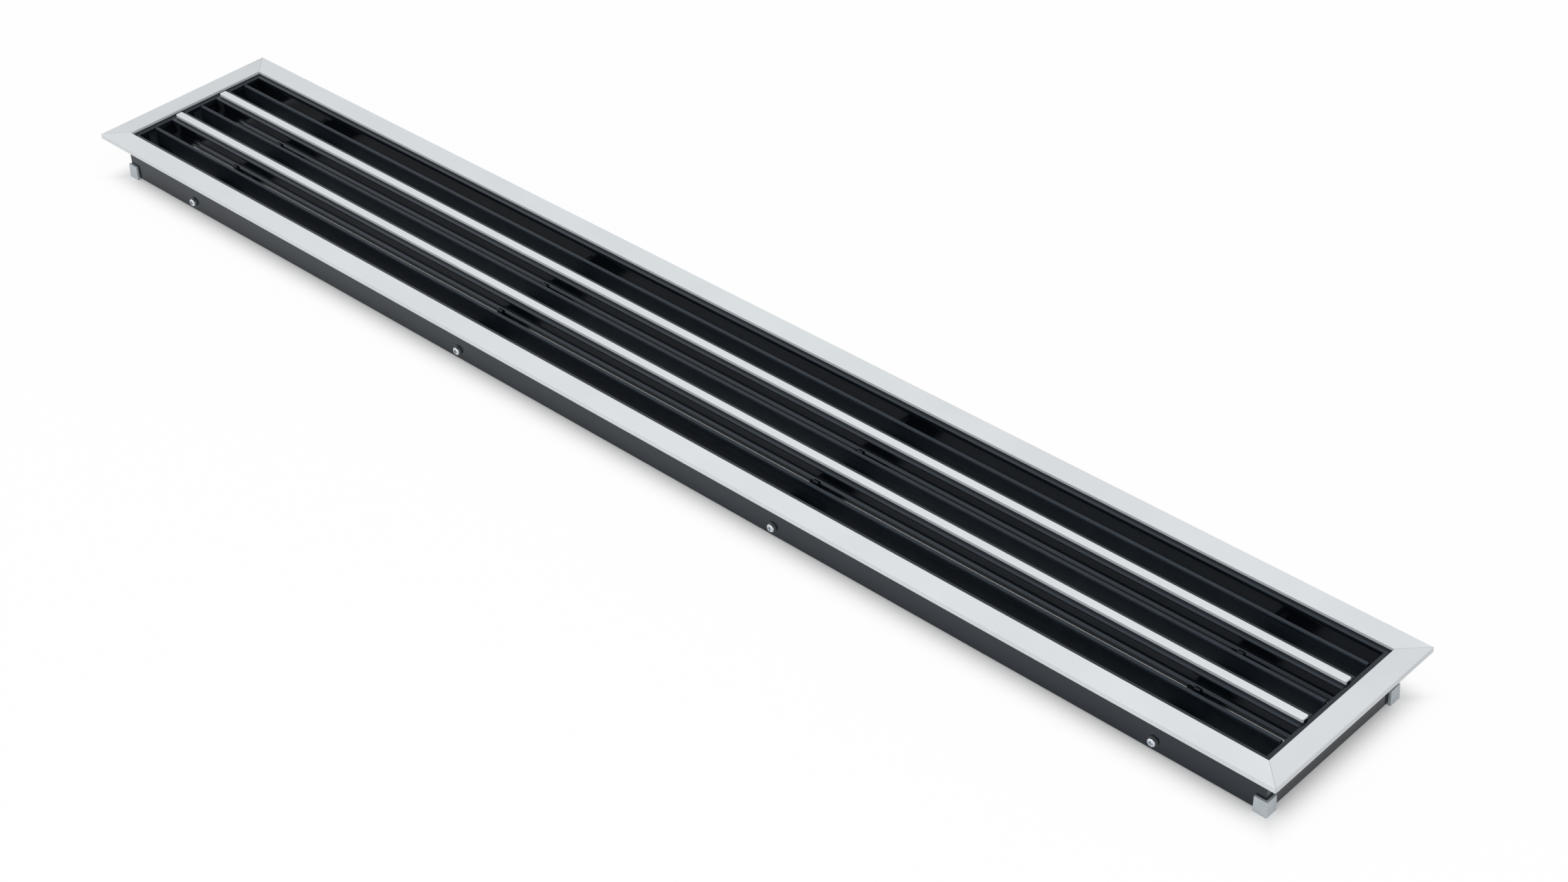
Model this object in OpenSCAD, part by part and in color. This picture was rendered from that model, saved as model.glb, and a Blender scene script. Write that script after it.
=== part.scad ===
// Linear slot diffuser with three air slots, standing on its neck with the face up.
// X runs along the slots, Y across them from front to rear, Z up to the face.

/* [Neck] */
// Outside length of the neck
neck_l = 1000; // [600:10:2000]
// Distance from the middle of one air slot to the middle of the next
slot_pitch = 40; // [36:0.5:60]
// Width of the neck beyond three slot pitches, on each side
side_margin = 0.8; // [0:0.1:6]
// Depth from the face to the open bottom of the neck
neck_depth = 35; // [32:0.5:60]
// Thickness of the neck walls
wall_t = 1.6; // [1:0.1:2.2]

/* [Flange] */
// Reach of the flange beyond the neck
flange_reach = 12.8; // [12:0.1:30]
// Cover of the white trim inward past the outside of the neck
trim_cover = 2.5; // [2:0.1:5]
// Thickness of the white trim
trim_t = 1.4; // [1:0.1:1.8]
// Step from the face down to the black rim
face_step = 2.4; // [2.2:0.1:4]
// Width of black rim beside each white trim
rim_w = 4; // [2.5:0.1:5]
// Thickness of the black rim and flange
head_t = 1.6; // [1.2:0.1:3]
// Height of the lip along the rim's inner edge
rim_lip_h = 3.3; // [3:0.1:5]
// Thickness of that lip
rim_lip_t = 1.4; // [1.2:0.1:2]
// Play between the trim's outer lip and the black flange
trim_fit = 0.3; // [0.1:0.05:0.5]
// Distance of the rib under the trim from the outside of the neck
rib_place = 3; // [1:0.1:4]
// Width of the rib under the trim
rib_w = 3; // [2:0.1:4]
// Rounding of the long edges
edge_r = 0.5; // [0.2:0.05:0.6]
// Cut back at each end of a trim, half the mitre joint
mitre_cut = 0.1; // [0:0.02:0.4]

/* [Dividers] */
// Shift of both dividers from the middle towards the rear
divider_shift = 1.2; // [0:0.1:2]
// Width of the white divider cap
cap_w = 5.5; // [5:0.1:10]
// Thickness of the divider cap
cap_t = 1; // [0.9:0.1:1.4]
// Play between a cap and the rib that it grips
cap_fit = 0.1; // [0.05:0.05:0.3]
// Distance from a cap's end to the trim's inner edge
cap_setback = 4.2; // [4:0.1:12]
// Rounding of a cap's long edges
cap_edge_r = 0.4; // [0.2:0.02:0.4]
// Rounding of a cap's corners seen from above
cap_corner_r = 1.2; // [0.5:0.1:2]
// Distance from a cap's end to the end of the rib inside it
cap_rib_setback = 4; // [0:0.5:10]
// Thickness of a divider's stem
stem_t = 1.8; // [1.2:0.1:2.5]
// Depth from the face to the bottom of a divider
divider_depth = 20.9; // [18.5:0.1:22]
// Width of the ridges along a divider's keel
keel_w = 5; // [4.4:0.1:6]
// Width of a divider's keel at its bottom
keel_tip_w = 4.4; // [1.2:0.1:4.4]
// Height of the taper below the ridges
keel_taper_h = 3.16; // [1.5:0.02:3.5]
// Height of the upper ridge
ridge_h = 0.7; // [0.7:0.1:1]
// Height of the slope on top of that ridge
ridge_slope = 0.6; // [0.3:0.1:0.6]
// Height of the groove between the ridges
groove_h = 0.64; // [0.6:0.02:1.2]
// Depth of that groove on each side
groove_depth = 0.8; // [0.5:0.1:1]
// Play at each end of a divider
end_fit = 0.2; // [0.1:0.05:1]

/* [Vanes] */
// Depth from the face to the top of an upright vane
vane_top_depth = 2.1; // [1.5:0.1:6]
// Thickness of a vane's web
vane_t = 1.3; // [1:0.1:2]
// Diameter of the bead along a vane's top edge
vane_bead_d = 2.8; // [2.2:0.1:4]
// Diameter of the hole through that bead
bead_hole_d = 1.2; // [0.6:0.1:1.6]
// Diameter of the round foot that a vane turns on
vane_pivot_d = 4.4; // [3.6:0.1:5]
// Bow of the web away from a straight line
vane_bow = 0.6; // [0.3:0.1:1.5]
// Lean of the middle and rear vanes towards the rear
vane_lean = 4; // [0:1:12]
// Lean of the front vane towards the rear
front_vane_lean = 1; // [0:1:12]
// Swing of a vane to each side of upright
vane_swing = 35; // [20:1:40]
// Gap from a vane's end to the black end rim
vane_end_gap = 1.1; // [0.5:0.1:5]
// Running clearance round a vane's foot
pivot_fit = 0.06; // [0.02:0.01:0.1]

/* [Crossbars] */
// Distance from the end of the neck to the first crossbar
bar_end = 74; // [40:0.5:120]
// Width of a crossbar along the slots
bar_w = 22; // [18:0.5:30]
// Height of a crossbar
bar_h = 6.4; // [6:0.1:9]
// Gap from the bottom of the neck up to a crossbar
bar_floor = 3.4; // [0.5:0.1:4]
// Rounding of a crossbar's long edges
bar_r = 1.2; // [0.4:0.1:2]
// Wall left round the pockets in a crossbar's underside
pocket_wall = 1.6; // [1.2:0.1:2]
// Depth of those pockets
pocket_depth = 4; // [2:0.1:4.5]
// Length of a vane saddle
saddle_l = 12; // [6:0.5:16]
// Thickness of a saddle's wall
saddle_t = 1.4; // [1:0.1:1.8]
// Height of a saddle's floor above the crossbar
saddle_floor = 0.2; // [0.1:0.1:1.5]
// Spare angle in a saddle's mouth beside the swinging web
mouth_spare = 3; // [2:1:10]
// Length of the pedestal under a divider
clip_l = 8; // [5:0.5:12]
// Width of a clip arm
arm_w = 3.7; // [2.5:0.1:5]
// Thickness of a clip arm
arm_t = 1.6; // [1:0.1:2.2]
// Slope along the outer top edge of a clip arm
arm_slope = 0.8; // [0.2:0.1:0.9]
// Play between a clip arm and what it grips
clip_fit = 0.1; // [0.05:0.05:0.2]
// Thickness of the post at each end of a crossbar
post_t = 3.4; // [2:0.1:5]

/* [Fasteners] */
// Diameter of the tie bolts
rod_d = 3; // [2.5:0.5:4]
// Play of a tie bolt in its holes
rod_fit = 0.15; // [0.1:0.05:0.3]
// Diameter of a bolt head
bolt_head_d = 5.6; // [5:0.1:8]
// Height of a bolt head
bolt_head_h = 2.4; // [2:0.1:3.2]
// Rounding of a bolt head's rim
bolt_head_r = 1.1; // [0.5:0.1:1.8]
// Width of the cross recess in a bolt head
recess_w = 0.8; // [0.6:0.1:1.4]
// Length of that recess
recess_l = 3.2; // [2.4:0.1:4]
// Depth of that recess
recess_depth = 1.2; // [0.8:0.1:1.6]
// Outside diameter of a washer
washer_d = 7; // [6:0.1:9]
// Thickness of a washer
washer_t = 0.5; // [0.4:0.1:1]
// Width of a nut across its flats
nut_af = 5.5; // [5:0.1:7]
// Height of a nut
nut_h = 2.4; // [2:0.1:3.2]
// Length of bolt past the nut
bolt_tail = 2; // [1:0.1:8]
// Play between the bolt's thread and the nut
thread_fit = 0.05; // [0.02:0.01:0.08]

/* [Corner pieces] */
// Length of a corner key's leg from the neck's corner
key_leg = 30; // [15:1:50]
// Play round a corner key
key_fit = 0.1; // [0.05:0.05:0.2]
// Length of a corner foot's leg from the neck's corner
foot_leg = 7; // [6:0.5:16]
// Thickness of a corner foot's walls
foot_t = 1.6; // [1.2:0.1:2]
// Height of a corner foot
foot_h = 10.6; // [6:0.1:16]
// Drop of a corner foot below the neck
foot_drop = 1.4; // [1:0.1:4]
// Flare of a corner foot from its top to its bottom
foot_draft = 0.4; // [0.2:0.1:1.5]
// Play between a corner foot and the neck
foot_fit = 0.1; // [0.05:0.05:0.2]

/* [Hidden] */
$fn = 48;

neck_w = 3 * slot_pitch + 2 * side_margin;
face_z = neck_depth + foot_drop;
rim_z = face_z - face_step;
head_in = trim_cover + rim_w;
head_out = flange_reach - trim_t - trim_fit;
mitre_span = flange_reach + head_in;

rim_inner_l = neck_l - 2 * head_in;
divider_y = slot_pitch / 2;
divider_head_w = cap_w + 2 * rim_w;
divider_bottom = face_z - divider_depth;
lower_ridge_z = divider_bottom + keel_taper_h;
groove_z = lower_ridge_z + groove_depth;
upper_ridge_z = groove_z + groove_h;
keel_top = upper_ridge_z + ridge_h;
groove_w = keel_w - 2 * groove_depth;
divider_l = rim_inner_l - 2 * end_fit;
cap_l = neck_l - 2 * trim_cover - 2 * cap_setback;

bar_bottom = foot_drop + bar_floor;
bar_top = bar_bottom + bar_h;
bar_l = neck_w - 2 * wall_t;
bar_xs = [for (i = [0:3]) (neck_l / 2 - bar_end) * (2 * i / 3 - 1)];
rod_z = bar_bottom + bar_h / 2;
rod_bore_r = rod_d / 2 + rod_fit;
arm_top = upper_ridge_z - clip_fit;

pivot_z = bar_top + saddle_floor + pivot_fit + vane_pivot_d / 2;
vane_span = face_z - vane_top_depth - vane_bead_d / 2 - pivot_z;
vane_arc_r = (pow(vane_span / 2, 2) + pow(vane_bow, 2)) / (2 * vane_bow);
vane_l = rim_inner_l - 2 * vane_end_gap;
saddle_bore_r = vane_pivot_d / 2 + pivot_fit;
saddle_r = saddle_bore_r + saddle_t;
web_slope = 2 * atan(2 * vane_bow / vane_span);
mouth_half = vane_swing + web_slope + asin(vane_t / vane_pivot_d) + mouth_spare;

bolt_l = neck_w + 2 * washer_t + nut_h + bolt_tail;
cut_past = 1;
sunk = 0.6;

black_metal = "#232527";
white_metal = "#f1f2f3";
black_nylon = "#17181a";
white_plastic = "#f4f6f7";
zinc = "#b9bdc1";

// Rectangle between two corners, with its corners rounded
module soft_rect(low, high, r) {
    size = high - low;
    translate([low[0] + r, low[1]])
        square([size[0] - 2 * r, size[1]]);
    translate([low[0], low[1] + r])
        square([size[0], size[1] - 2 * r]);
    for (x = [low[0] + r, high[0] - r], y = [low[1] + r, high[1] - r])
        translate([x, y])
            circle(r);
}

// Section drawn in Y and Z, drawn out along X
module along_x(l) {
    rotate([90, 0, 90])
        linear_extrude(height = l, center = true)
            children();
}

// Section drawn in X and Z, drawn out along Y
module along_y(l) {
    rotate([90, 0, 0])
        linear_extrude(height = l, center = true)
            children();
}

// One side of the frame on the front, its section drawn outward from the neck, its ends mitred
module mitred_side(side_l, across, cut) {
    intersection() {
        translate([0, -across / 2, 0])
            along_x(side_l + 2 * mitre_span)
                mirror([1, 0])
                    children();
        linear_extrude(height = face_z + cut_past)
            polygon([for (end = [-1, 1], out = [end, -end])
                [end * (side_l / 2 + out * mitre_span - cut), -across / 2 - out * mitre_span]]);
    }
}

// A piece made for the rear right corner of the neck, turned to one of the four corners
module at_corner(quarter) {
    across = quarter % 2 == 0 ? [neck_l, neck_w] : [neck_w, neck_l];
    rotate(90 * quarter)
        translate([across[0] / 2, across[1] / 2, 0])
            children();
}

// Round bores for the tie bolts, right across the neck
module rod_bores() {
    for (x = bar_xs)
        translate([x, 0, rod_z])
            rotate([90, 0, 0])
                cylinder(r = rod_bore_r, h = neck_w + 2 * cut_past, center = true);
}

// Black rail: neck wall, flange with its lipped inner rim, and the rib that carries the trim
module rail_section() {
    translate([-wall_t, foot_drop])
        square([wall_t, rim_z - head_t / 2 - foot_drop]);
    soft_rect([-head_in, rim_z - head_t], [head_out, rim_z], edge_r);
    soft_rect([-head_in, rim_z - rim_lip_h], [rim_lip_t - head_in, rim_z], edge_r);
    translate([rib_place, rim_z - head_t / 2])
        square([rib_w, head_t / 2 + face_step - trim_t]);
}

// White trim: cover plate with a deep outer lip and a short inner lip
module trim_section() {
    soft_rect([-trim_cover, face_z - trim_t], [flange_reach, face_z], edge_r);
    soft_rect([flange_reach - trim_t, rim_z - head_t], [flange_reach, face_z], edge_r);
    soft_rect([-trim_cover, rim_z], [trim_t - trim_cover, face_z], edge_r);
}

// Tapered keel along a divider's bottom, with a groove between two sloping ridges on each side
module keel_section() {
    half = [
        [keel_tip_w / 2, divider_bottom],
        [keel_w / 2, lower_ridge_z],
        [groove_w / 2, groove_z],
        [groove_w / 2, upper_ridge_z],
        [keel_w / 2, upper_ridge_z],
        [keel_w / 2, keel_top - ridge_slope],
        [keel_w / 2 - ridge_slope, keel_top]
    ];
    polygon(concat(half, [for (i = [len(half) - 1:-1:0]) [-half[i][0], half[i][1]]]));
}

// Black divider: wide head, thin stem and the keel that the crossbars grip
module divider_section() {
    soft_rect([-divider_head_w / 2, rim_z - head_t], [divider_head_w / 2, rim_z], edge_r);
    translate([-stem_t / 2, groove_z])
        square([stem_t, rim_z - head_t / 2 - groove_z]);
    keel_section();
}

// Rib on a divider's head that its cap snaps over
module cap_rib_section() {
    translate([cap_t + cap_fit - cap_w / 2, rim_z - head_t / 2])
        square([cap_w - 2 * cap_t - 2 * cap_fit, head_t / 2 + face_step - cap_t]);
}

// White divider cap: a channel that snaps over the divider's rib
module cap_section() {
    soft_rect([-cap_w / 2, face_z - cap_t], [cap_w / 2, face_z], cap_edge_r);
    for (y = [-cap_w / 2, cap_w / 2 - cap_t])
        soft_rect([y, rim_z], [y + cap_t, face_z], cap_edge_r);
}

// Vane about its pivot: round foot, bowed web and a beaded top edge
module vane_section() {
    difference() {
        union() {
            circle(d = vane_pivot_d);
            translate([0, vane_span])
                circle(d = vane_bead_d);
            intersection() {
                translate([vane_arc_r - vane_bow, vane_span / 2])
                    difference() {
                        circle(vane_arc_r + vane_t / 2);
                        circle(vane_arc_r - vane_t / 2);
                    }
                translate([-vane_bow - vane_t, 0])
                    square([vane_bow + 2 * vane_t, vane_span]);
            }
        }
        translate([0, vane_span])
            circle(d = bead_hole_d);
    }
}

// Open ring about the pivot that holds a vane's foot and lets its web swing
module saddle_section() {
    reach = 2 * saddle_r;
    difference() {
        union() {
            circle(saddle_r);
            translate([-saddle_r, bar_top - sunk - pivot_z])
                square([2 * saddle_r, pivot_z - bar_top + sunk]);
        }
        circle(saddle_bore_r);
        polygon([
            [0, 0],
            [reach * sin(mouth_half), reach * cos(mouth_half)],
            [reach * sin(mouth_half), 2 * reach],
            [-reach * sin(mouth_half), 2 * reach],
            [-reach * sin(mouth_half), reach * cos(mouth_half)]
        ]);
    }
}

// Upright arm whose nib snaps into the groove on one side of a divider's keel
module clip_arm(side) {
    inner = keel_w / 2 + clip_fit;
    outer = inner + arm_t;
    nib_in = groove_w / 2 + clip_fit;
    nib_bottom = groove_z + clip_fit / 2;
    along_x(arm_w)
        scale([side, 1])
            polygon([
                [inner, bar_top - sunk],
                [outer, bar_top - sunk],
                [outer, arm_top - arm_slope],
                [outer - arm_slope, arm_top],
                [nib_in, arm_top],
                [nib_in, nib_bottom],
                [inner, nib_bottom]
            ]);
}

// Pedestal that a divider's keel sits on, with an arm on each side
module divider_clip() {
    seat_w = keel_w + 2 * clip_fit + 2 * arm_t;
    translate([-clip_l / 2, -seat_w / 2, bar_top - sunk])
        cube([clip_l, seat_w, divider_bottom - bar_top + sunk]);
    for (side = [-1, 1])
        clip_arm(side);
}

// Post at a crossbar's end, standing against the neck wall
module end_post(side) {
    translate([-arm_w / 2, side * (bar_l - post_t) / 2 - post_t / 2, bar_top - sunk])
        cube([arm_w, post_t, arm_top - bar_top + sunk]);
}

// Pockets in a crossbar's underside, beside the bolt and between the ribs under the dividers
module bar_pockets() {
    inner = rod_bore_r + pocket_wall;
    pocket_w = bar_w / 2 - pocket_wall - inner;
    bay_l = slot_pitch - 2 * pocket_wall;
    end_bay_l = (bar_l - slot_pitch) / 2 - 2 * pocket_wall;
    bays = [[0, bay_l], [-(slot_pitch + bar_l) / 4, end_bay_l], [(slot_pitch + bar_l) / 4, end_bay_l]];
    for (side = [-1, 1], bay = bays)
        translate([side * (inner + pocket_w / 2), bay[0], bar_bottom + (pocket_depth - cut_past) / 2])
            cube([pocket_w, bay[1], pocket_depth + cut_past], center = true);
}

module side_rail(turn) {
    color(black_metal)
        difference() {
            rotate(turn)
                mitred_side(neck_l, neck_w, 0)
                    rail_section();
            rod_bores();
        }
}

module end_rail(turn) {
    color(black_metal)
        rotate(turn)
            mitred_side(neck_w, neck_l, 0)
                rail_section();
}

module side_trim(turn) {
    color(white_metal)
        rotate(turn)
            mitred_side(neck_l, neck_w, mitre_cut)
                trim_section();
}

module end_trim(turn) {
    color(white_metal)
        rotate(turn)
            mitred_side(neck_w, neck_l, mitre_cut)
                trim_section();
}

// Flat steel angle in the hollow between the trim and the black flange
module corner_key(quarter) {
    inner = rib_place + rib_w + key_fit;
    outer = head_out - key_fit;
    key_t = face_step - trim_t - key_fit;
    color(zinc)
        at_corner(quarter)
            translate([0, 0, rim_z]) {
                translate([-key_leg, inner, 0])
                    cube([key_leg + outer, outer - inner, key_t]);
                translate([inner, -key_leg, 0])
                    cube([outer - inner, key_leg + outer, key_t]);
            }
}

module divider(side) {
    color(black_metal)
        translate([0, side * divider_y + divider_shift, 0]) {
            along_x(divider_l)
                divider_section();
            along_x(cap_l - 2 * cap_rib_setback)
                cap_rib_section();
        }
}

module divider_cap(side) {
    corner = [cap_l / 2, cap_w / 2];
    color(white_metal)
        translate([0, side * divider_y + divider_shift, 0])
            intersection() {
                along_x(cap_l)
                    cap_section();
                linear_extrude(height = face_z + cut_past)
                    soft_rect(-corner, corner, cap_corner_r);
            }
}

module vane(slot) {
    color(black_metal)
        translate([0, slot * slot_pitch, pivot_z])
            rotate([slot < 0 ? -front_vane_lean : -vane_lean, 0, 0])
                along_x(vane_l)
                    vane_section();
}

module crossbar(place) {
    color(black_nylon)
        translate([bar_xs[place], 0, 0]) {
            difference() {
                along_y(bar_l)
                    soft_rect([-bar_w / 2, bar_bottom], [bar_w / 2, bar_top], bar_r);
                bar_pockets();
                translate([0, 0, rod_z])
                    rotate([90, 0, 0])
                        cylinder(r = rod_bore_r, h = bar_l + 2 * cut_past, center = true);
            }
            for (slot = [-1:1])
                translate([0, slot * slot_pitch, pivot_z])
                    along_x(saddle_l)
                        saddle_section();
            for (side = [-1, 1]) {
                translate([0, side * divider_y + divider_shift, 0])
                    divider_clip();
                end_post(side);
            }
        }
}

// Half section of a pan head, drawn out from the bolt's axis
module bolt_head_section() {
    rim = [bolt_head_d / 2, bolt_head_h];
    intersection() {
        soft_rect(-rim, rim, bolt_head_r);
        translate([0, -bolt_head_h])
            square([bolt_head_d, bolt_head_h]);
    }
}

// Pan head bolts with a cross recess, their heads at the front wall
module tie_bolts() {
    color(zinc)
        for (x = bar_xs)
            translate([x, -neck_w / 2 - washer_t, rod_z])
                rotate([-90, 0, 0])
                    difference() {
                        union() {
                            cylinder(d = rod_d, h = bolt_l);
                            rotate_extrude()
                                bolt_head_section();
                        }
                        for (turn = [0, 90])
                            rotate(turn)
                                translate([-recess_l / 2, -recess_w / 2, -bolt_head_h - cut_past])
                                    cube([recess_l, recess_w, recess_depth + cut_past]);
                    }
}

// A washer on each tie bolt, from one place across the neck towards the rear
module washers(y, tone) {
    color(tone)
        for (x = bar_xs)
            translate([x, y, rod_z])
                rotate([-90, 0, 0])
                    difference() {
                        cylinder(d = washer_d, h = washer_t);
                        translate([0, 0, -cut_past])
                            cylinder(r = rod_bore_r, h = washer_t + 2 * cut_past);
                    }
}

module tie_nuts() {
    color(zinc)
        for (x = bar_xs)
            translate([x, neck_w / 2 + washer_t, rod_z])
                rotate([-90, 0, 0])
                    difference() {
                        cylinder(d = nut_af / cos(30), h = nut_h, $fn = 6);
                        translate([0, 0, -cut_past])
                            cylinder(r = rod_d / 2 + thread_fit, h = nut_h + 2 * cut_past);
                    }
}

// Flared plastic foot that straddles the neck's walls at a corner
module corner_foot(quarter) {
    out = foot_t + foot_draft;
    side = [[-foot_leg, 0], [out, 0], [foot_t, foot_h], [-foot_leg, foot_h]];
    grip = wall_t + foot_fit;
    past = foot_leg + cut_past;
    inside = past - grip - foot_t;
    color(white_plastic)
        at_corner(quarter)
            difference() {
                intersection() {
                    along_y(2 * (foot_leg + out))
                        polygon(side);
                    along_x(2 * (foot_leg + out))
                        polygon(side);
                }
                translate([-past, -past, -cut_past])
                    cube([inside, inside, foot_h + 2 * cut_past]);
                translate([-past, -grip, foot_drop])
                    cube([past + foot_fit, grip + foot_fit, foot_h]);
                translate([-grip, -past, foot_drop])
                    cube([grip + foot_fit, past + foot_fit, foot_h]);
            }
}

side_rail(0);  // side_rail_front
side_rail(180);  // side_rail_rear
end_rail(-90);  // end_rail_left
end_rail(90);  // end_rail_right
side_trim(0);  // flange_trim_front
side_trim(180);  // flange_trim_rear
end_trim(-90);  // flange_trim_left
end_trim(90);  // flange_trim_right
corner_key(0);  // corner_key_rear_right
corner_key(1);  // corner_key_rear_left
corner_key(2);  // corner_key_front_left
corner_key(3);  // corner_key_front_right
divider(-1);  // divider_front
divider(1);  // divider_rear
divider_cap(-1);  // divider_cap_front
divider_cap(1);  // divider_cap_rear
vane(-1);  // vane_front
vane(0);  // vane_middle
vane(1);  // vane_rear
crossbar(0);  // crossbar_1
crossbar(1);  // crossbar_2
crossbar(2);  // crossbar_3
crossbar(3);  // crossbar_4
tie_bolts();
washers(-neck_w / 2 - washer_t, black_metal);  // head_washers
washers(neck_w / 2, zinc);  // nut_washers
tie_nuts();
corner_foot(0);  // corner_foot_rear_right
corner_foot(1);  // corner_foot_rear_left
corner_foot(2);  // corner_foot_front_left
corner_foot(3);  // corner_foot_front_right
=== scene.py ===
"""Linear slot diffuser: finishes, bolt threads, floor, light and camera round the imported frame."""
import math

import bpy
from mathutils import Matrix, Vector


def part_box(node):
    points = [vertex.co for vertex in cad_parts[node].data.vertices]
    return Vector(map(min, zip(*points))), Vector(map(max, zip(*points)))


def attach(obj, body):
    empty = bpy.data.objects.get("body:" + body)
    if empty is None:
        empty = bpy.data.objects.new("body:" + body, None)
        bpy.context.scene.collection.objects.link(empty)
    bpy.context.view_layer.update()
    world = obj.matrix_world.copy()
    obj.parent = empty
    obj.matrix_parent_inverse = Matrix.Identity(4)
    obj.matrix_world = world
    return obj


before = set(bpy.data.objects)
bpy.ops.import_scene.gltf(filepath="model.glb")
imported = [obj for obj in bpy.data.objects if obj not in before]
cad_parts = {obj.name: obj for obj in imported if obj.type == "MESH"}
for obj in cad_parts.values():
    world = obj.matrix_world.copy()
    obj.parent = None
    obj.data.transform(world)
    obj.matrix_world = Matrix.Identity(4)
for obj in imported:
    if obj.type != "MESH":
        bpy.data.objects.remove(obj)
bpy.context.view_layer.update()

MM = 0.001
MM_PER_METRE = 1000.0
X_AXIS = 0
Y_AXIS = 1

# Camera solved from the flange and neck edges: place in metres, angles in degrees, lens in mm
CAMERA_PLACE = Vector((1.0691, -0.9847, 1.0495))
CAMERA_AZIMUTH = 44.71
CAMERA_ELEVATION = 36.77
CAMERA_ROLL = -2.415
LENS = 64.14
SENSOR_WIDTH = 36.0
CLIP_END = 50.0

# Even white surroundings: their strength as a light, and as they are seen and mirrored
AMBIENT = 0.5
SURROUNDINGS_SEEN = 1.0

# Broad soft light overhead and a long one lower in front: sizes and places in metres, power in watts
KEY_SIZE = 1.6
KEY_PLACE = Vector((0.6, -0.45, 1.9))
KEY_POWER = 19.0
FRONT_LENGTH = 2.4
FRONT_WIDTH = 0.8
FRONT_PLACE = Vector((-1.1, -1.2, 1.14))
FRONT_POWER = 5.4

# Floor: its size in metres, the band beside the feet where the shadow fades, and the plain white beyond
FLOOR_SIZE = 9.0
SHADOW_START = -12.0 * MM
SHADOW_REACH = 20.0 * MM
FLOOR_WHITE = 0.95

# Thread on the bolt tails: M3 coarse, as rings that sink a little into the plain shank
THREAD_PITCH = 0.5 * MM
THREAD_DEPTH = 0.16 * MM
THREAD_SINK = THREAD_DEPTH / 4
THREAD_TURNS = 3
CREST_SIDES = 4
RING_SIDES = 24
BOLT_RADIUS = 1.5 * MM
BOLT_HEAD_WIDTH = 5.6 * MM
BOLT_COUNT = 4

# Tone of what the black coats mirror
COOL_SHEEN = "#d8e7f8"

# Detail of grains and draw lines, and the span of heights over which tone and gloss change
GRAIN_DETAIL = 2.0
LINE_DETAIL = 3.0
HEIGHT_LOW = 0.3
HEIGHT_HIGH = 0.7

# Dust on the vanes: heights where specks and smudges begin and are full, the smudges' size and cover
SPECK_BEGIN = 0.64
SPECK_FULL = 0.78
SMUDGE_BEGIN = 0.5
SMUDGE_FULL = 0.9
SMUDGE_MM = 14.0
SMUDGE_COVER = 0.3

# Sockets of a colour mix by number, because several of them share a name
MIX_SHARE = 0
MIX_UNDER = 6
MIX_OVER = 7
MIX_RESULT = 2


def linear(hex_value):
    """Linear colour of an sRGB hex value."""
    channels = [int(hex_value[i:i + 2], 16) / 255 for i in (1, 3, 5)]
    return [c / 12.92 if c <= 0.04045 else ((c + 0.055) / 1.055) ** 2.4 for c in channels] + [1.0]


def node(tree, kind, inputs=None, **settings):
    """Adds a node with its settings; each input is a value or the socket that feeds it."""
    made = tree.nodes.new(kind)
    for key, value in settings.items():
        setattr(made, key, value)
    for key, value in (inputs or {}).items():
        if isinstance(value, bpy.types.NodeSocket):
            tree.links.new(value, made.inputs[key])
        else:
            made.inputs[key].default_value = value
    return made


def per_metre(size_mm):
    """Scale of a noise whose grains are size_mm across."""
    return MM_PER_METRE / size_mm


def start_finish(name, **shader_values):
    """Empty material with a shader; returns it, its tree, its shader and the piece's own coordinates."""
    material = bpy.data.materials.new(name)
    material.use_nodes = True
    tree = material.node_tree
    tree.nodes.clear()
    values = {key.replace("_", " "): value for key, value in shader_values.items()}
    shader = node(tree, "ShaderNodeBsdfPrincipled", values)
    node(tree, "ShaderNodeOutputMaterial", {"Surface": shader.outputs["BSDF"]})
    coords = node(tree, "ShaderNodeTexCoord").outputs["Object"]
    return material, tree, shader, coords


def grain(tree, coords, size_mm):
    """Even grain of one size; returns its height."""
    return node(tree, "ShaderNodeTexNoise",
                {"Vector": coords, "Scale": per_metre(size_mm), "Detail": GRAIN_DETAIL}).outputs["Fac"]


def draw_lines(tree, coords, along, length_mm, width_mm):
    """Lines left by the extrusion die, coarser than real ones so that they show; returns their height."""
    scale = [per_metre(length_mm if axis == along else width_mm) for axis in range(3)]
    stretched = node(tree, "ShaderNodeMapping", {"Vector": coords, "Scale": scale})
    return node(tree, "ShaderNodeTexNoise",
                {"Vector": stretched.outputs["Vector"], "Scale": 1.0, "Detail": LINE_DETAIL}).outputs["Fac"]


def tint(tree, shader, height, dark, light):
    """Colour that drifts between two tones with a height."""
    ramp = node(tree, "ShaderNodeValToRGB", {"Fac": height})
    ramp.color_ramp.elements[0].position = HEIGHT_LOW
    ramp.color_ramp.elements[0].color = linear(dark)
    ramp.color_ramp.elements[1].position = HEIGHT_HIGH
    ramp.color_ramp.elements[1].color = linear(light)
    tree.links.new(ramp.outputs["Color"], shader.inputs["Base Color"])


def dust(tree, shader, coords, size_mm, pale):
    """Sparse pale specks and faint smudges over the tint."""
    specks = node(tree, "ShaderNodeMapRange",
                  {"Value": grain(tree, coords, size_mm),
                   "From Min": SPECK_BEGIN, "From Max": SPECK_FULL})
    smudges = node(tree, "ShaderNodeMapRange",
                   {"Value": grain(tree, coords, SMUDGE_MM),
                    "From Min": SMUDGE_BEGIN, "From Max": SMUDGE_FULL, "To Max": SMUDGE_COVER})
    cover = node(tree, "ShaderNodeMath",
                 {0: specks.outputs["Result"], 1: smudges.outputs["Result"]}, operation="MAXIMUM")
    under = shader.inputs["Base Color"].links[0].from_socket
    mixed = node(tree, "ShaderNodeMix",
                 {MIX_SHARE: cover.outputs[0], MIX_UNDER: under, MIX_OVER: linear(pale)}, data_type="RGBA")
    tree.links.new(mixed.outputs[MIX_RESULT], shader.inputs["Base Color"])


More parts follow.
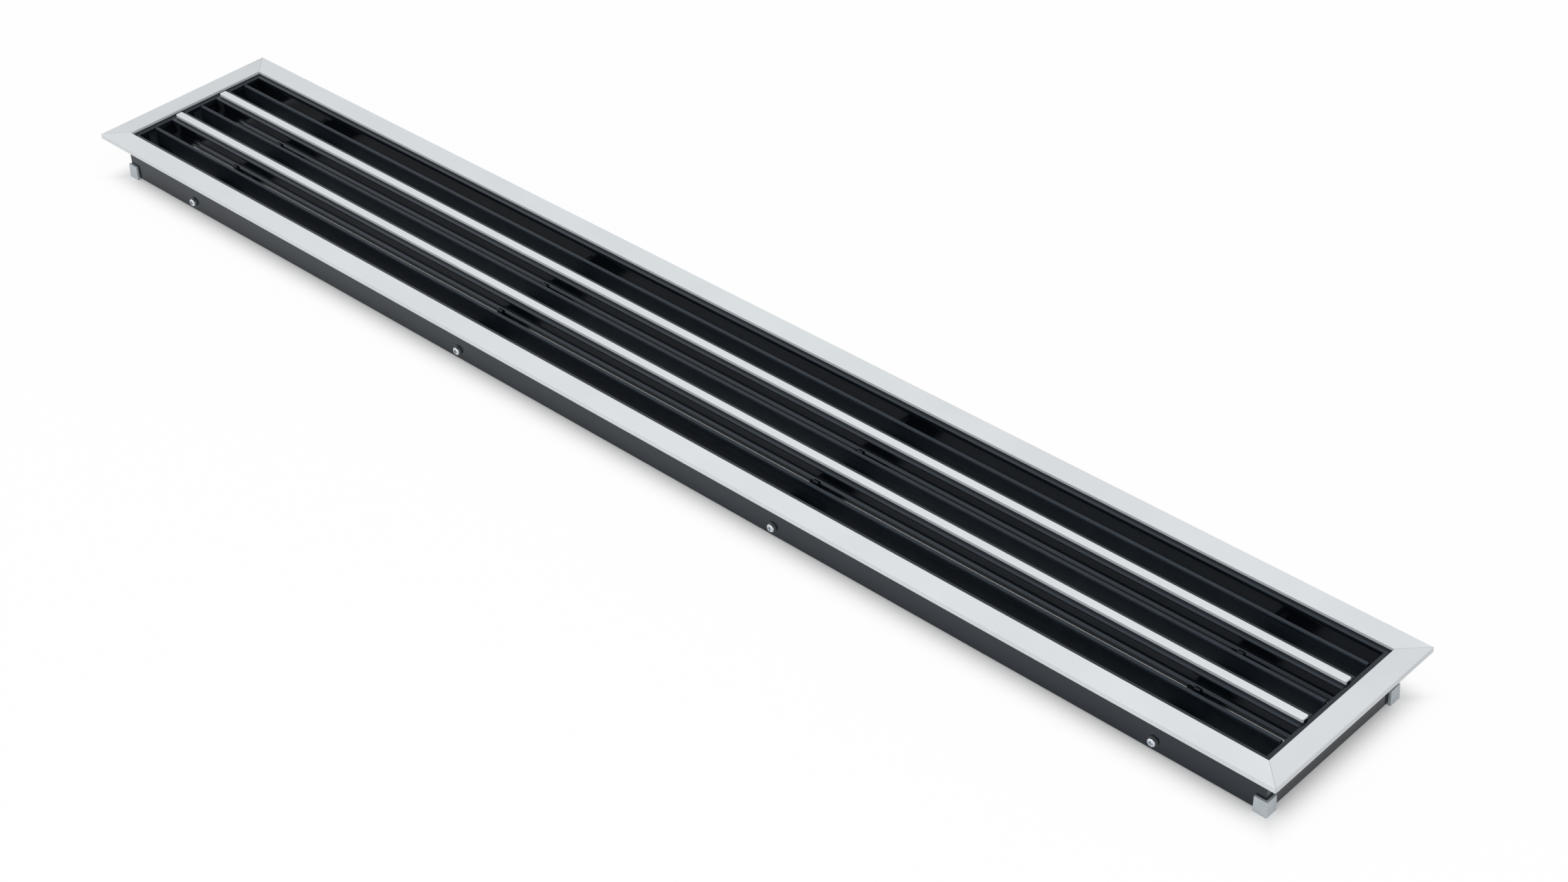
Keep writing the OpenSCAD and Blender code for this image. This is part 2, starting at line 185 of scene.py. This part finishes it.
def gloss(tree, shader, height, low, high):
    """Roughness that drifts between two values with a height."""
    spread = node(tree, "ShaderNodeMapRange",
                  {"Value": height, "From Min": HEIGHT_LOW, "From Max": HEIGHT_HIGH,
                   "To Min": low, "To Max": high})
    tree.links.new(spread.outputs["Result"], shader.inputs["Roughness"])


def relief(tree, shader, height, depth_mm, strength):
    """Bump from a height, over any bump that is there already."""
    inputs = {"Height": height, "Distance": depth_mm * MM, "Strength": strength}
    under = shader.inputs["Normal"].links
    if under:
        inputs["Normal"] = under[0].from_socket
    bump = node(tree, "ShaderNodeBump", inputs)
    tree.links.new(bump.outputs["Normal"], shader.inputs["Normal"])


def white_powder_coat(name, along, dark, light):
    """Baked polyester powder on aluminium: cool white, fine orange peel, a hint of the draw lines."""
    material, tree, shader, coords = start_finish(name, IOR=1.5)
    peel = grain(tree, coords, size_mm=1.4)
    drift = grain(tree, coords, size_mm=60.0)
    lines = draw_lines(tree, coords, along, length_mm=220.0, width_mm=1.6)
    tint(tree, shader, drift, dark, light)
    gloss(tree, shader, peel, low=0.42, high=0.54)
    relief(tree, shader, peel, depth_mm=0.02, strength=0.5)
    relief(tree, shader, lines, depth_mm=0.015, strength=0.4)
    return material


def satin_black_coat(name, along):
    """Stoved enamel on an extrusion: deep black that mirrors pale surroundings softly along its lines."""
    material, tree, shader, coords = start_finish(name, IOR=1.45, Specular_Tint=linear(COOL_SHEEN))
    lines = draw_lines(tree, coords, along, length_mm=160.0, width_mm=0.9)
    peel = grain(tree, coords, size_mm=0.9)
    drift = grain(tree, coords, size_mm=35.0)
    tint(tree, shader, drift, "#11171d", "#161d23")
    gloss(tree, shader, lines, low=0.1, high=0.17)
    relief(tree, shader, lines, depth_mm=0.008, strength=0.3)
    relief(tree, shader, peel, depth_mm=0.003, strength=0.25)
    return material


def black_anodised_vane(name):
    """Black anodised aluminium: duller than the frame, with lengthwise die lines and a little dust."""
    material, tree, shader, coords = start_finish(name, IOR=1.43, Specular_Tint=linear(COOL_SHEEN))
    lines = draw_lines(tree, coords, X_AXIS, length_mm=240.0, width_mm=0.8)
    broad = draw_lines(tree, coords, X_AXIS, length_mm=400.0, width_mm=3.0)
    tint(tree, shader, lines, "#0f151b", "#1a2229")
    dust(tree, shader, coords, size_mm=1.9, pale="#2f373e")
    gloss(tree, shader, broad, low=0.34, high=0.46)
    relief(tree, shader, lines, depth_mm=0.015, strength=0.5)
    relief(tree, shader, broad, depth_mm=0.02, strength=0.4)
    return material


def moulded_black_nylon(name):
    """Injection moulded nylon: soft blue-black with a fine spark grain and no mirror."""
    material, tree, shader, coords = start_finish(name, IOR=1.53, Specular_Tint=linear(COOL_SHEEN))
    spark = grain(tree, coords, size_mm=0.5)
    flow = grain(tree, coords, size_mm=12.0)
    tint(tree, shader, flow, "#0a0d10", "#101418")
    gloss(tree, shader, spark, low=0.34, high=0.48)
    relief(tree, shader, spark, depth_mm=0.02, strength=0.5)
    return material


def bright_zinc(name, dark, light):
    """Zinc on steel, plated or galvanised: blue-grey metal with small uneven patches from the bath."""
    material, tree, shader, coords = start_finish(name, Metallic=1.0)
    patches = grain(tree, coords, size_mm=2.2)
    scuffs = grain(tree, coords, size_mm=0.35)
    tint(tree, shader, patches, dark, light)
    gloss(tree, shader, scuffs, low=0.24, high=0.4)
    relief(tree, shader, scuffs, depth_mm=0.01, strength=0.4)
    return material


def black_oxide(name):
    """Black oxide on steel: an oiled dark film, a little paler where it is thin."""
    material, tree, shader, coords = start_finish(name, IOR=1.6)
    film = grain(tree, coords, size_mm=1.5)
    tint(tree, shader, film, "#0b0c0d", "#141414")
    gloss(tree, shader, film, low=0.4, high=0.55)
    relief(tree, shader, film, depth_mm=0.01, strength=0.3)
    return material


def moulded_white_plastic(name):
    """Polyethylene: milky white, a little light goes into it, waxy sheen."""
    material, tree, shader, coords = start_finish(
        name, IOR=1.51, Subsurface_Weight=0.25, Subsurface_Radius=[1.0, 0.95, 0.9],
        Subsurface_Scale=1.5 * MM)
    flow = grain(tree, coords, size_mm=5.0)
    wax = grain(tree, coords, size_mm=0.8)
    tint(tree, shader, flow, "#c3cbd0", "#ccd4d8")
    gloss(tree, shader, wax, low=0.34, high=0.46)
    relief(tree, shader, wax, depth_mm=0.015, strength=0.4)
    return material


white_side = white_powder_coat("white_powder_coat_side", X_AXIS, "#dce0e3", "#e2e6e9")
# The end trims are the same powder coat as the sides, painted a little darker as painted shade on the ends
white_end_shaded = white_powder_coat("white_powder_coat_end_shaded", Y_AXIS, "#d5d9dc", "#dbdfe2")
black_side = satin_black_coat("satin_black_coat_side", X_AXIS)
black_end = satin_black_coat("satin_black_coat_end", Y_AXIS)
black_vane = black_anodised_vane("black_anodised_vane")
black_nylon = moulded_black_nylon("moulded_black_nylon")
# Bolt heads: zinc painted paler than on the nuts, partly the zinc's own blue-grey and partly painted light
# on the heads
zinc_bolt_lit = bright_zinc("bright_zinc_bolt_painted_light", "#c8cfd5", "#dde3e7")
zinc_nut = bright_zinc("bright_zinc_nut", "#9fa6ab", "#b7bdc1")
black_washer = black_oxide("black_oxide_washer")
galvanised_key = bright_zinc("galvanised_key", "#8f959a", "#a9afb3")
white_plastic = moulded_white_plastic("moulded_white_plastic")

# Finish of each piece by the start of its name; the first that fits is taken
FINISHES = [
    ("flange_trim_left", white_end_shaded),
    ("flange_trim_right", white_end_shaded),
    ("flange_trim", white_side),
    ("divider_cap", white_side),
    ("divider", black_side),
    ("side_rail", black_side),
    ("end_rail", black_end),
    ("vane", black_vane),
    ("crossbar", black_nylon),
    ("tie_bolts", zinc_bolt_lit),
    ("head_washers", black_washer),
    ("nut_washers", zinc_nut),
    ("tie_nuts", zinc_nut),
    ("corner_key", galvanised_key),
    ("corner_foot", white_plastic),
]
for name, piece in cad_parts.items():
    finish = next(material for start, material in FINISHES if name.startswith(start))
    for slot in piece.material_slots:
        slot.material = finish


def thread_tree(finish):
    """Rings of thread along Y, repeated at each bolt along X."""
    tree = bpy.data.node_groups.new("bolt_tail_threads", "GeometryNodeTree")
    sizes = {
        "First": "NodeSocketVector",
        "Bolt Step": "NodeSocketVector",
        "Turn Step": "NodeSocketVector",
        "Bolts": "NodeSocketInt",
        "Turns": "NodeSocketInt",
        "Radius": "NodeSocketFloat",
        "Depth": "NodeSocketFloat",
    }
    for name, kind in sizes.items():
        tree.interface.new_socket(name, in_out="INPUT", socket_type=kind)
    tree.interface.new_socket("Threads", in_out="OUTPUT", socket_type="NodeSocketGeometry")
    given = node(tree, "NodeGroupInput").outputs
    crest = node(tree, "GeometryNodeCurvePrimitiveCircle",
                 {"Resolution": CREST_SIDES, "Radius": given["Depth"]})
    loop = node(tree, "GeometryNodeCurvePrimitiveCircle",
                {"Resolution": RING_SIDES, "Radius": given["Radius"]})
    upright = node(tree, "GeometryNodeTransform",
                   {"Geometry": loop.outputs["Curve"], "Rotation": (math.pi / 2, 0.0, 0.0)})
    ring = node(tree, "GeometryNodeCurveToMesh",
                {"Curve": upright.outputs["Geometry"], "Profile Curve": crest.outputs["Curve"]})
    turns = node(tree, "GeometryNodeMeshLine", {"Count": given["Turns"], "Offset": given["Turn Step"]})
    tail = node(tree, "GeometryNodeInstanceOnPoints",
                {"Points": turns.outputs["Mesh"], "Instance": ring.outputs["Mesh"]})
    row = node(tree, "GeometryNodeMeshLine",
               {"Count": given["Bolts"], "Start Location": given["First"], "Offset": given["Bolt Step"]})
    tails = node(tree, "GeometryNodeInstanceOnPoints",
                 {"Points": row.outputs["Mesh"], "Instance": tail.outputs["Instances"]})
    solid = node(tree, "GeometryNodeRealizeInstances", {"Geometry": tails.outputs["Instances"]})
    coated = node(tree, "GeometryNodeSetMaterial",
                  {"Geometry": solid.outputs["Geometry"], "Material": finish})
    node(tree, "NodeGroupOutput", {"Threads": coated.outputs["Geometry"]})
    return tree


def made_by(tree, name, values):
    """Plain mesh object from a geometry tree with its inputs set by identifier."""
    carrier = bpy.data.objects.new(name + "_carrier", bpy.data.meshes.new(name + "_carrier"))
    bpy.context.scene.collection.objects.link(carrier)
    modifier = carrier.modifiers.new(name, "NODES")
    modifier.node_group = tree
    for item in tree.interface.items_tree:
        if item.in_out == "INPUT":
            modifier[item.identifier] = values[item.name]
    bpy.context.view_layer.update()
    evaluated = carrier.evaluated_get(bpy.context.evaluated_depsgraph_get())
    mesh = bpy.data.meshes.new_from_object(evaluated)
    carrier.modifiers.remove(modifier)
    bpy.data.objects.remove(carrier)
    made = bpy.data.objects.new(name, mesh)
    bpy.context.scene.collection.objects.link(made)
    return made


bolts_low, bolts_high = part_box("tie_bolts")
nuts_low, nuts_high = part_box("tie_nuts")
first_bolt_x = bolts_low.x + BOLT_HEAD_WIDTH / 2
bolt_step = (bolts_high.x - bolts_low.x - BOLT_HEAD_WIDTH) / (BOLT_COUNT - 1)
bolt_z = (nuts_low.z + nuts_high.z) / 2
threads = made_by(thread_tree(zinc_bolt_lit), "bolt_tail_threads", {
    "First": (first_bolt_x, nuts_high.y + THREAD_PITCH / 2, bolt_z),
    "Bolt Step": (bolt_step, 0.0, 0.0),
    "Turn Step": (0.0, THREAD_PITCH, 0.0),
    "Bolts": BOLT_COUNT,
    "Turns": THREAD_TURNS,
    "Radius": BOLT_RADIUS - THREAD_SINK,
    "Depth": THREAD_DEPTH,
})
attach(threads, "frame")


def seen_or_mirrored(tree):
    """1 for what the camera sees straight, in a mirror or through a clear piece, and 0 for falling light."""
    ray = node(tree, "ShaderNodeLightPath").outputs
    mirrored = node(tree, "ShaderNodeMath",
                    {0: ray["Is Glossy Ray"], 1: ray["Is Transmission Ray"]}, operation="MAXIMUM")
    seen = node(tree, "ShaderNodeMath",
                {0: ray["Is Camera Ray"], 1: mirrored.outputs[0]}, operation="MAXIMUM")
    return seen.outputs[0]


def floor_paint():
    """Matt white paint that takes the diffuser's soft shadow and fades to plain white beyond the feet."""
    material, tree, shader, coords = start_finish("pale_floor", IOR=1.3)
    cloud = grain(tree, coords, size_mm=700.0)
    tint(tree, shader, cloud, "#fafafa", "#fcfcfc")
    gloss(tree, shader, cloud, low=0.85, high=0.95)
    foot_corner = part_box("corner_foot_front_left")[0]
    place = node(tree, "ShaderNodeVectorMath", {0: coords}, operation="ABSOLUTE")
    outside = node(tree, "ShaderNodeVectorMath",
                   {0: place.outputs["Vector"], 1: (-foot_corner.x, -foot_corner.y, 0.0)},
                   operation="SUBTRACT")
    gap = node(tree, "ShaderNodeSeparateXYZ", {"Vector": outside.outputs["Vector"]}).outputs
    nearest = node(tree, "ShaderNodeMath", {0: gap["X"], 1: gap["Y"]}, operation="MAXIMUM")
    fade = node(tree, "ShaderNodeMapRange",
                {"Value": nearest.outputs[0], "From Min": SHADOW_START, "From Max": SHADOW_REACH,
                 "To Max": FLOOR_WHITE}, interpolation_type="SMOOTHSTEP")
    share = node(tree, "ShaderNodeMath",
                 {0: fade.outputs["Result"], 1: seen_or_mirrored(tree)}, operation="MULTIPLY")
    white = node(tree, "ShaderNodeEmission", {"Color": linear("#ffffff"), "Strength": 1.0})
    mixed = node(tree, "ShaderNodeMixShader",
                 {0: share.outputs[0], 1: shader.outputs["BSDF"], 2: white.outputs["Emission"]})
    end = next(n for n in tree.nodes if n.type == "OUTPUT_MATERIAL")
    tree.links.new(mixed.outputs["Shader"], end.inputs["Surface"])
    return material


def pale_floor():
    """Level square that the feet stand on."""
    half = FLOOR_SIZE / 2
    corners = [(-half, -half, 0), (half, -half, 0), (half, half, 0), (-half, half, 0)]
    mesh = bpy.data.meshes.new("floor")
    mesh.from_pydata(corners, [], [(0, 1, 2, 3)])
    mesh.materials.append(floor_paint())
    floor = bpy.data.objects.new("floor", mesh)
    bpy.context.scene.collection.objects.link(floor)


def white_surroundings():
    """Even white all round, dimmer as a light than as it is seen and mirrored."""
    world = bpy.data.worlds.new("white_surroundings")
    world.use_nodes = True
    tree = world.node_tree
    tree.nodes.clear()
    strength = node(tree, "ShaderNodeMapRange",
                    {"Value": seen_or_mirrored(tree), "To Min": AMBIENT, "To Max": SURROUNDINGS_SEEN})
    light = node(tree, "ShaderNodeBackground",
                 {"Color": linear("#fdfeff"), "Strength": strength.outputs["Result"]})
    node(tree, "ShaderNodeOutputWorld", {"Surface": light.outputs["Background"]})
    bpy.context.scene.world = world


def soft_light(name, place, length, width, power):
    """Soft box that faces the middle of the diffuser, its length level."""
    lamp = bpy.data.lights.new(name, "AREA")
    lamp.shape = "RECTANGLE"
    lamp.size = length
    lamp.size_y = width
    lamp.energy = power
    box = bpy.data.objects.new(name, lamp)
    box.location = place
    box.rotation_euler = (-place).to_track_quat("-Z", "Y").to_euler()
    bpy.context.scene.collection.objects.link(box)


def photo_camera():
    """Camera at the solved place, turned by its azimuth, elevation and roll."""
    azimuth, elevation, roll = (math.radians(a) for a in (CAMERA_AZIMUTH, CAMERA_ELEVATION, CAMERA_ROLL))
    back = Vector((math.sin(azimuth) * math.cos(elevation), -math.cos(azimuth) * math.cos(elevation),
                   math.sin(elevation)))
    level = Vector((math.cos(azimuth), math.sin(azimuth), 0.0))
    right = math.cos(roll) * level + math.sin(roll) * back.cross(level)
    up = back.cross(right)
    data = bpy.data.cameras.new("photo_camera")
    data.sensor_fit = "HORIZONTAL"
    data.sensor_width = SENSOR_WIDTH
    data.lens = LENS
    data.clip_end = CLIP_END
    camera = bpy.data.objects.new("photo_camera", data)
    turn = Matrix((right, up, back)).transposed()
    camera.matrix_world = Matrix.Translation(CAMERA_PLACE) @ turn.to_4x4()
    bpy.context.scene.collection.objects.link(camera)
    bpy.context.scene.camera = camera


pale_floor()
white_surroundings()
soft_light("soft_overhead", KEY_PLACE, KEY_SIZE, KEY_SIZE, KEY_POWER)
soft_light("soft_front", FRONT_PLACE, FRONT_LENGTH, FRONT_WIDTH, FRONT_POWER)
photo_camera()
bpy.context.scene.view_settings.view_transform = "Standard"
